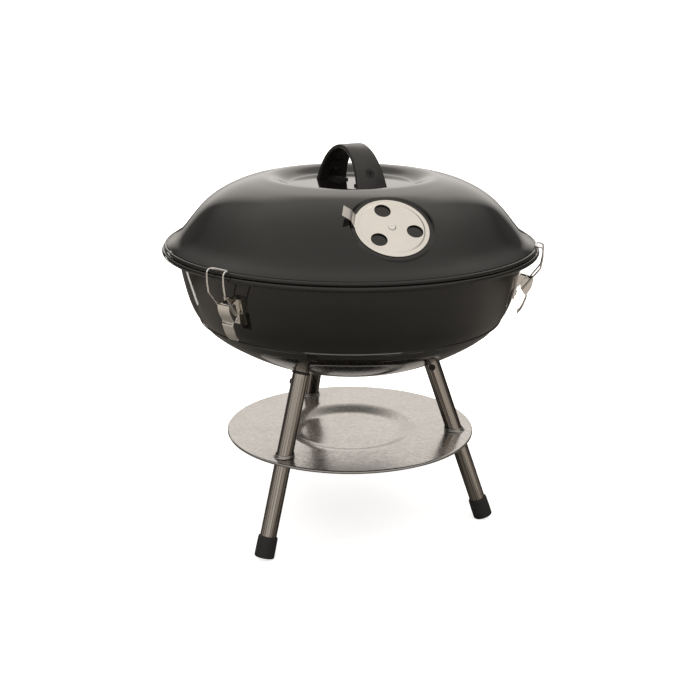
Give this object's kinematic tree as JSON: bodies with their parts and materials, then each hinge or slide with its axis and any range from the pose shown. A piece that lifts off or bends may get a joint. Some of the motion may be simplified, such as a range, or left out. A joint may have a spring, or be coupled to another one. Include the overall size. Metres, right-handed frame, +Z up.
{
  "type": "portable tabletop grill",
  "caption": "Round portable charcoal grill: domed enamel lid with strap handle and vent, latched to a bowl on splayed tube legs that pass through an ash plate.",
  "frame": {"origin": "ground level on the grill's vertical axis, midway between the three feet", "axes": "+Z up; -Y is the front, midway between the two front legs; +X to the right seen from the front"},
  "size_m": [0.3679, 0.3724, 0.3836],
  "materials": {
    "black_enamel": "gloss porcelain enamel",
    "black_plastic": "moulded, soft satin",
    "black_steel": "black coated steel",
    "dark_screw": "blackened steel",
    "plated_steel": "satin plated sheet",
    "plated_rivet": "satin plated rivet",
    "galvanised_steel": "speckled galvanised sheet",
    "tube_steel": "drawn tube, faint brown tint",
    "latch_chrome": "bright nickel plate",
    "latch_wire": "bright nickel plated wire",
    "chrome_wire": "chromed wire",
    "black_wire": "plain dark steel wire",
    "black_rubber": "matt rubber"
  },
  "bodies": {
    "stand_and_bowl": {"bowl": "black_enamel", "bowl_damper_rivet": "plated_rivet", "leg_screws": "dark_screw", "ash_plate": "galvanised_steel", "latch_rivets": "plated_rivet", "leg_socket_1": "black_steel", "leg_1": "tube_steel", "foot_cap_1": "black_rubber", "grate_support_1": "plated_steel", "latch_base_1": "latch_chrome", "latch_pin_1": "latch_chrome", "leg_socket_2": "black_steel", "leg_2": "tube_steel", "foot_cap_2": "black_rubber", "grate_support_2": "plated_steel", "latch_base_2": "latch_chrome", "latch_pin_2": "latch_chrome", "leg_socket_3": "black_steel", "leg_3": "tube_steel", "foot_cap_3": "black_rubber", "grate_support_3": "plated_steel", "latch_base_3": "latch_chrome", "latch_pin_3": "latch_chrome"},
    "lid": {"lid": "black_enamel", "lid_handle": "black_plastic", "handle_bracket_1": "black_steel", "handle_bracket_2": "black_steel", "handle_screws": "dark_screw", "bracket_rivets": "black_steel", "lid_damper_rivet": "plated_rivet"},
    "lid_vent": {"lid_damper": "plated_steel"},
    "bottom_vent": {"bowl_damper": "plated_steel"},
    "cooking_grate": {"cooking_grate": "chrome_wire"},
    "charcoal_grate": {"charcoal_grate": "black_wire"},
    "latch_1_lever": {"latch_lever_1": "latch_chrome"},
    "latch_1_bail": {"latch_bail_1": "latch_wire"},
    "latch_2_lever": {"latch_lever_2": "latch_chrome"},
    "latch_2_bail": {"latch_bail_2": "latch_wire"},
    "latch_3_lever": {"latch_lever_3": "latch_chrome"},
    "latch_3_bail": {"latch_bail_3": "latch_wire"}
  },
  "joints": [
    {"name": "lid_lift", "type": "slide", "parent": "stand_and_bowl", "child": "lid", "axis": [0, 0, 1], "range_m": [0, 0.25]},
    {"name": "lid_vent_turn", "type": "hinge", "parent": "lid", "child": "lid_vent", "pos_m": [-0.01957, -0.13254, 0.32648], "axis": [-0.0865, -0.5857, 0.8059], "range_deg": [0, 60]},
    {"name": "bottom_vent_turn", "type": "hinge", "parent": "stand_and_bowl", "child": "bottom_vent", "pos_m": [0, 0, 0.1655], "axis": [0, 0, 1], "range_deg": [0, 60]},
    {"name": "cooking_grate_lift", "type": "slide", "parent": "stand_and_bowl", "child": "cooking_grate", "axis": [0, 0, 1], "range_m": [0, 0.125]},
    {"name": "charcoal_grate_lift", "type": "slide", "parent": "stand_and_bowl", "child": "charcoal_grate", "axis": [0, 0, 1], "range_m": [0, 0.1]},
    {"name": "latch_1_lever_swing", "type": "hinge", "parent": "stand_and_bowl", "child": "latch_1_lever", "pos_m": [-0.1537, -0.07831, 0.2575], "axis": [-0.454, 0.891, 0], "range_deg": [0, 110]},
    {"name": "latch_1_bail_swing", "type": "hinge", "parent": "latch_1_lever", "child": "latch_1_bail", "pos_m": [-0.15076, -0.07681, 0.2492], "axis": [-0.454, 0.891, 0], "range_deg": [-132, 0]},
    {"name": "latch_2_lever_swing", "type": "hinge", "parent": "stand_and_bowl", "child": "latch_2_lever", "pos_m": [0.14467, -0.09395, 0.2575], "axis": [-0.5446, -0.8387, 0], "range_deg": [0, 110]},
    {"name": "latch_2_bail_swing", "type": "hinge", "parent": "latch_2_lever", "child": "latch_2_bail", "pos_m": [0.1419, -0.09215, 0.2492], "axis": [-0.5446, -0.8387, 0], "range_deg": [-132, 0]},
    {"name": "latch_3_lever_swing", "type": "hinge", "parent": "stand_and_bowl", "child": "latch_3_lever", "pos_m": [0.00903, 0.17226, 0.2575], "axis": [0.9986, -0.0523, 0], "range_deg": [0, 110]},
    {"name": "latch_3_bail_swing", "type": "hinge", "parent": "latch_3_lever", "child": "latch_3_bail", "pos_m": [0.00886, 0.16897, 0.2492], "axis": [0.9986, -0.0523, 0], "range_deg": [-132, 0]}
  ],
  "couplings": [
    {"joint": "latch_1_bail_swing", "follows": "latch_1_lever_swing", "ratio": -1.2},
    {"joint": "latch_2_bail_swing", "follows": "latch_2_lever_swing", "ratio": -1.2},
    {"joint": "latch_3_bail_swing", "follows": "latch_3_lever_swing", "ratio": -1.2},
    {"joint": "cooking_grate_lift", "follows": "lid_lift", "ratio": 0.5},
    {"joint": "charcoal_grate_lift", "follows": "lid_lift", "ratio": 0.4}
  ]
}
